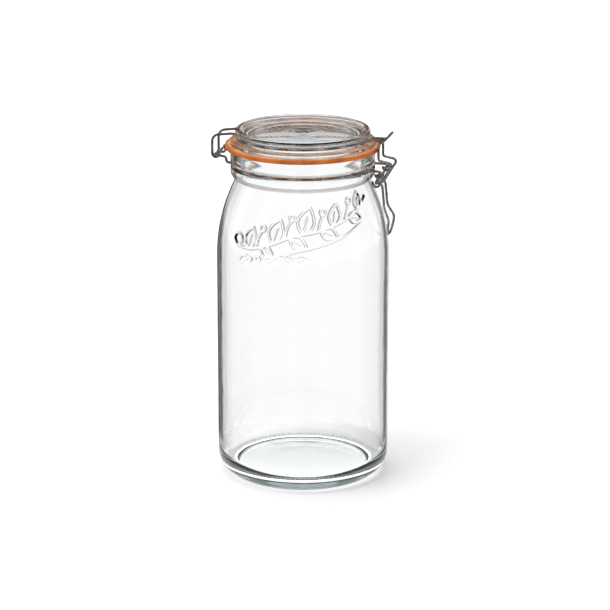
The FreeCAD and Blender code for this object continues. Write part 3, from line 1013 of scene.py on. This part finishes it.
@dataclass
class Studio:
    """Floor, backdrop light, lamps and camera. Sizes in metres."""

    distance: float = 2.05
    camera_height: float = 0.748
    aim_height: float = 0.1363
    aim_side: float = 0.0016
    lens: float = 157.6
    floor_size: float = 12.0
    disc: float = 0.13
    near_glow: float = 0.20
    far_glow: float = 0.60
    far_edge: tuple[float, float] = (0.25, 1.6)
    # Strength and radii of the painted pool of light on the floor under the jar.
    painted_pool_strength: float = 0.74
    painted_pool_edge: tuple[float, float] = (0.054, 0.068)
    ambient: float = 0.56
    card_pitch: float = 45.0
    card_from: float = 7.5
    card_to: float = 37.5
    card_soft: float = 2.0
    card_dark: float = 0.95
    wing_zero: float = 60.0
    wing_soft: float = 3.0
    wing_left: tuple[float, float] = (92.0, 112.0)
    wing_right: tuple[float, float] = (37.0, 57.0)
    wing_dark: float = 0.66
    pale_side: tuple[float, float] = (40.0, 73.0)
    pale_soft: float = 4.0
    pale_lift: float = 0.60
    edge_slope: tuple[float, float, float] = (-0.45, -0.10, 0.06)
    edge_dark: float = 0.74
    above_starts: tuple[float, float] = (-0.06, 0.10)
    above_ends: tuple[float, float] = (0.50, 0.72)
    above_dark: float = 0.45
    through_gain: float = 1.07

    def build(self) -> None:
        """Build the whole studio."""
        self.lay_floor()
        self.light_world()
        self.hang_lamps()
        self.set_camera()

    def lay_floor(self) -> None:
        """Lay a pale floor that keeps the jar's shadow, with a painted pool of light under the jar."""
        mesh = bmesh.new()
        bmesh.ops.create_grid(mesh, x_segments=1, y_segments=1, size=self.floor_size / 2.0)
        data = bpy.data.meshes.new("floor")
        mesh.to_mesh(data)
        mesh.free()
        floor = bpy.data.objects.new("floor", data)
        bpy.context.scene.collection.objects.link(floor)
        paper = bpy.data.materials.new("floor_paper")
        paper.use_nodes = True
        board = Board(paper.node_tree)
        place = board.place()
        x, y, _ = board.split(place)
        reach = (x * x + y * y) ** 0.5
        grain = board.noise(place, 3.0, 2.0)
        colour = board.mix(grain, (0.85, 0.845, 0.84, 1.0), (0.87, 0.865, 0.86, 1.0))
        matt = board.add("ShaderNodeBsdfDiffuse", None, {"Color": colour})
        camera, glossy, through = self.rays(board)
        seen = (camera + glossy + through).step(0.0, 1.0)
        # Painted light: the paper under the jar glows for camera, glossy and transmission rays, a pool of
        # light standing in for the light the glass would gather there.
        painted_pool_mask = 1.0 - reach.step(*self.painted_pool_edge)
        far = reach.step(*self.far_edge) * self.far_glow
        strength = seen * (self.near_glow + far + painted_pool_mask * self.painted_pool_strength)
        glow_with_painted_light = board.add("ShaderNodeEmission", None, {"Color": (1, 1, 1, 1), "Strength": strength})
        both = board.add("ShaderNodeAddShader", None, {0: matt, 1: glow_with_painted_light})
        clear = board.add("ShaderNodeBsdfTransparent")
        open_floor = (through + glossy).step(0.0, 1.0) * reach.step(self.disc * 0.6, self.disc)
        mixed = board.add("ShaderNodeMixShader", None, {0: open_floor, 1: both, 2: clear})
        board.add("ShaderNodeOutputMaterial", None, {"Surface": mixed})
        data.materials.append(paper)

    def rays(self, board: Board) -> tuple[Tap, Tap, Tap]:
        """Which ray sees the background: camera, glossy or transmission.

        Args:
            board: The board to build on.

        Returns:
            1 for each kind of ray, else 0.
        """
        path = board.add("ShaderNodeLightPath")
        names = [socket.name for socket in path.node.outputs]
        kinds = ("Is Camera Ray", "Is Glossy Ray", "Is Transmission Ray")
        camera, glossy, through = (path.out(names.index(kind)) for kind in kinds)
        return camera, glossy, through

    def light_world(self) -> None:
        """White all round, with dark cards between, as metal and glass see it."""
        world = bpy.data.worlds.new("studio")
        world.use_nodes = True
        bpy.context.scene.world = world
        board = Board(world.node_tree)
        camera, glossy, through = self.rays(board)
        x, y, z = board.split(board.add("ShaderNodeTexCoord", output=0))
        around = (0.0 - x).bent_to(y) * (180.0 / math.pi) + FULL_TURN
        share = around.wrapped(self.card_pitch)
        cards = share.band(self.card_from, self.card_to, self.card_soft)
        turned = (around + self.wing_zero).wrapped(FULL_TURN)
        wings = turned.band(*self.wing_left, self.wing_soft) + turned.band(*self.wing_right, self.wing_soft)
        above = z.step(*self.above_starts) * (1.0 - z.step(*self.above_ends))
        path = board.add("ShaderNodeLightPath")
        depth_name = [socket.name for socket in path.node.outputs].index("Transmission Depth")
        bounced = glossy * (1.0 - through)
        edge = through * (1.0 - path.out(depth_name).step(2.4, 2.6)) + bounced
        pale_side = turned.band(*self.pale_side, self.pale_soft) * self.pale_lift
        edge = edge * z.band(*self.edge_slope) * self.edge_dark * (1.0 - pale_side)
        held = cards * bounced * self.card_dark + wings * through * self.wing_dark
        dark = 1.0 - (1.0 - held) * (1.0 - above * through * self.above_dark) * (1.0 - edge)
        reflecting = (glossy + through).step(0.0, 1.0)
        shown = camera + reflecting * (1.0 - dark) * self.through_gain
        strength = shown + (1.0 - (camera + reflecting).step(0.0, 1.0)) * self.ambient
        sky = board.add("ShaderNodeBackground", None, {"Color": (1, 1, 1, 1), "Strength": strength})
        board.add("ShaderNodeOutputWorld", None, {"Surface": sky})

    def hang_lamps(self) -> None:
        """Hang the soft lamps."""
        for name, place, size, power in (
            ("key", (-0.7, -0.6, 2.1), 1.2, 24.0),
            ("fill", (1.5, -0.8, 1.0), 1.0, 5.0),
            ("top", (-0.3, 0.5, 1.7), 0.8, 9.0),
        ):
            lamp = bpy.data.lights.new(name, "AREA")
            lamp.size = size
            lamp.energy = power
            holder = bpy.data.objects.new(name, lamp)
            holder.location = place
            holder.visible_glossy = False
            holder.visible_transmission = False
            aim = Vector((0.0, 0.0, 0.14)) - Vector(place)
            holder.rotation_euler = aim.to_track_quat("-Z", "Y").to_euler()
            bpy.context.scene.collection.objects.link(holder)

    def set_camera(self) -> None:
        """Set the camera in front of the jar, a little above it."""
        data = bpy.data.cameras.new("camera")
        data.lens = self.lens
        data.sensor_width = 36.0
        data.clip_start = 0.05
        camera = bpy.data.objects.new("camera", data)
        right = Vector((math.cos(CAMERA_AZIMUTH), math.sin(CAMERA_AZIMUTH), 0.0))
        back = Vector((math.sin(CAMERA_AZIMUTH), -math.cos(CAMERA_AZIMUTH), 0.0))
        aim = right * self.aim_side + Vector((0.0, 0.0, self.aim_height))
        stand = back * self.distance + right * self.aim_side
        camera.location = stand + Vector((0.0, 0.0, self.camera_height))
        camera.rotation_mode = "QUATERNION"
        camera.rotation_quaternion = (aim - camera.location).to_track_quat("-Z", "Y")
        bpy.context.scene.collection.objects.link(camera)
        bpy.context.scene.camera = camera


def main() -> None:
    """Build every piece in order."""
    logging.basicConfig(level=logging.INFO)
    bpy.context.scene.view_settings.view_transform = "Standard"
    JarGlass().build()
    RubberSeal().build()
    LidGlass().build()
    Wirework().dress()
    Studio().build()


if __name__ == "__main__":
    main()
